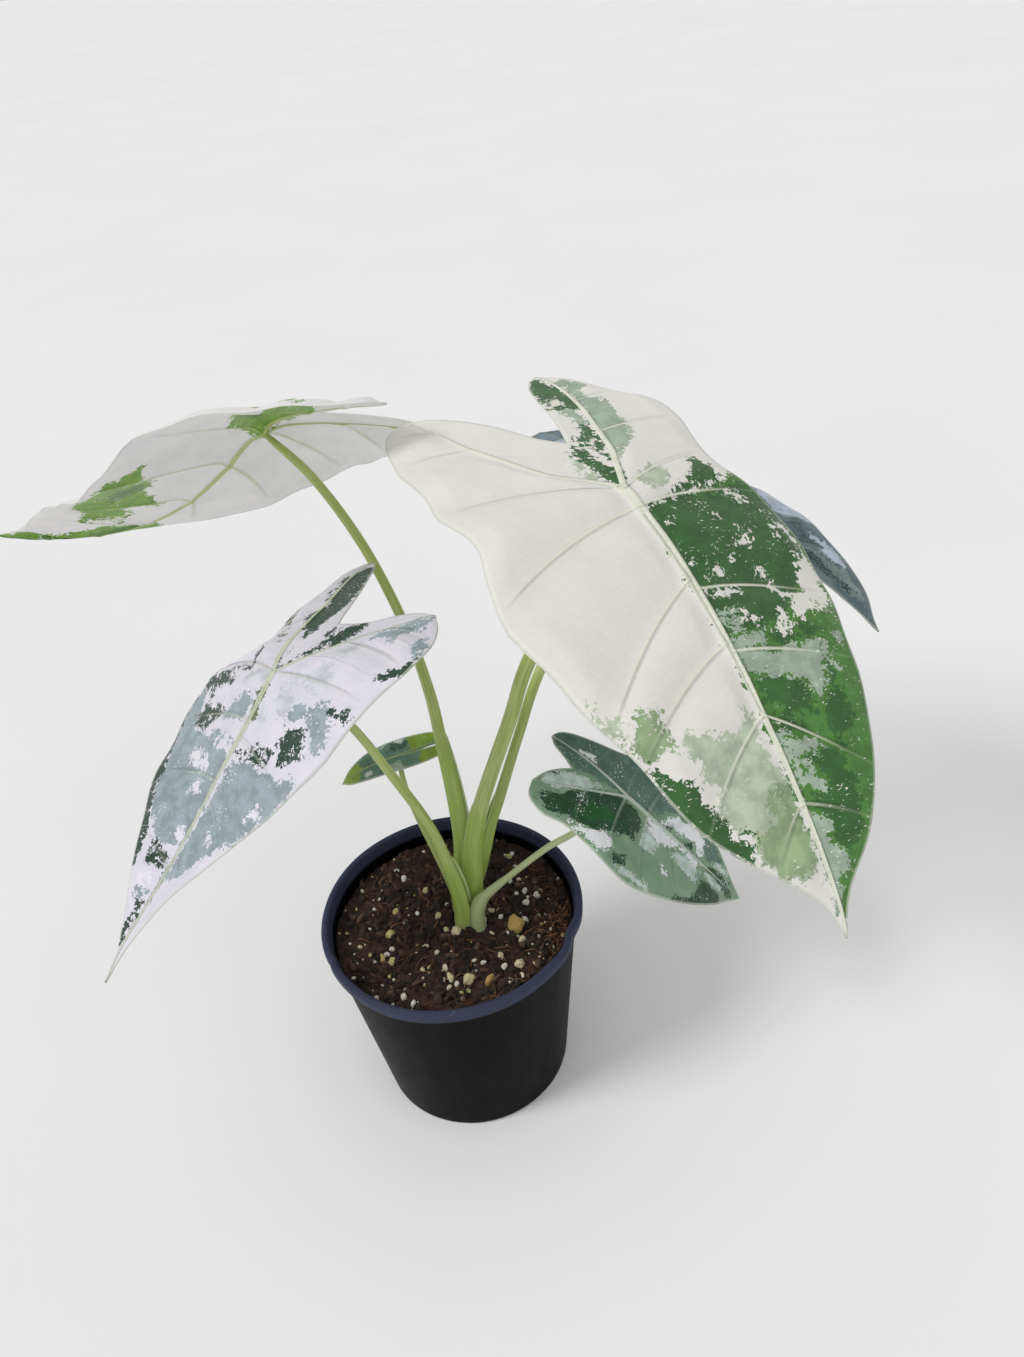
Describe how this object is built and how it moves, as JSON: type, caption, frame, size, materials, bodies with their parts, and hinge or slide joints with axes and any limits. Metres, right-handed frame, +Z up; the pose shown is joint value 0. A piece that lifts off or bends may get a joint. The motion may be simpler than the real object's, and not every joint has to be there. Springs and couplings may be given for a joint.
{
  "type": "potted alocasia frydek plant",
  "caption": "Young variegated house plant with velvety arrow-shaped leaves on long sheathed stems, growing in a small round nursery pot filled with potting mix.",
  "frame": {"origin": "centre of the flat underside of the pot", "axes": "+Z up out of the pot, -Y towards the viewer, +X towards the great leaf at the right"},
  "size_m": [0.3522, 0.2478, 0.2894],
  "materials": {
    "pot_plastic": "satin near-black nursery pot plastic",
    "potting_mix": "loose dark potting mix with white and yellow grains",
    "stem_skin": "smooth light yellow-green stem skin with paler streaks",
    "leaf_great": "waxy leaf skin of the great leaf, patched white and green",
    "leaf_rear": "waxy leaf skin of the rear leaf, patched white and green",
    "leaf_high_left": "waxy leaf skin of the high left leaf, patched white and green",
    "leaf_low_left": "waxy leaf skin of the low left leaf, patched white and green",
    "leaf_low_right": "waxy leaf skin of the low right leaf, patched white and green",
    "leaf_small": "waxy leaf skin of the small leaf, patched white and green"
  },
  "bodies": {
    "root": {"pot": "pot_plastic", "soil": "potting_mix", "petiole_great": "stem_skin", "blade_great": "leaf_great", "petiole_rear": "stem_skin", "blade_rear": "leaf_rear", "petiole_high_left": "stem_skin", "blade_high_left": "leaf_high_left", "petiole_low_left": "stem_skin", "blade_low_left": "leaf_low_left", "petiole_low_right": "stem_skin", "blade_low_right": "leaf_low_right", "petiole_small": "stem_skin", "blade_small": "leaf_small"}
  },
  "joints": []
}
